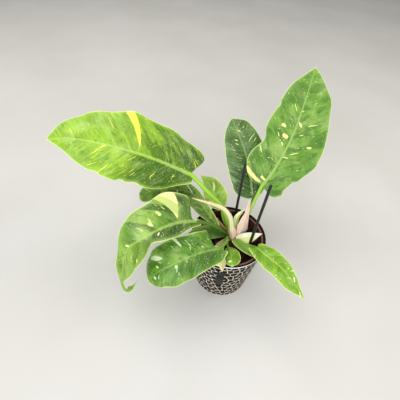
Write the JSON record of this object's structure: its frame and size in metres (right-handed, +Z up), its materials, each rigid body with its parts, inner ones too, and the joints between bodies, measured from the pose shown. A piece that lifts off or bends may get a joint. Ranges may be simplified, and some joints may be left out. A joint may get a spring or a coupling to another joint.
{
  "type": "potted ring of fire philodendron",
  "caption": "Potted variegated philodendron with serrated leaves, sheaths and support stakes in a nursery pot inside a patterned outer pot",
  "frame": {"origin": "centre of the pot's flat underside", "axes": "+Z up out of the pot, -Y towards the side that faces the viewer, +X to the viewer's right"},
  "size_m": [0.4287, 0.3421, 0.2968],
  "materials": {
    "pot": "satin, printed with dark cells",
    "label": "matte",
    "nursery": "matte",
    "soil": "loose bark and peat",
    "stem": "waxy",
    "stake": "satin",
    "bright_leaf": "waxy",
    "leaf": "waxy",
    "dark_leaf": "waxy",
    "pink_sheath": "waxy",
    "cream_sheath": "waxy",
    "paper_sheath": "dry"
  },
  "bodies": {
    "root": {"outer_pot": "pot", "pot_label": "label", "nursery_pot": "nursery", "soil": "soil", "stem": "stem", "stake_1": "stake", "stake_2": "stake", "leaf_left": "bright_leaf", "leaf_drooping": "leaf", "leaf_low_left": "dark_leaf", "leaf_behind": "dark_leaf", "leaf_inner": "leaf", "leaf_right": "leaf", "leaf_back": "leaf", "leaf_low_right": "bright_leaf", "leaf_front": "bright_leaf", "sheath_long": "pink_sheath", "sheath_pink": "pink_sheath", "sheath_cream": "cream_sheath", "sheath_green": "bright_leaf", "sheath_left": "leaf", "sheath_front": "cream_sheath", "sheath_back": "cream_sheath", "sheath_old": "paper_sheath"}
  },
  "joints": []
}
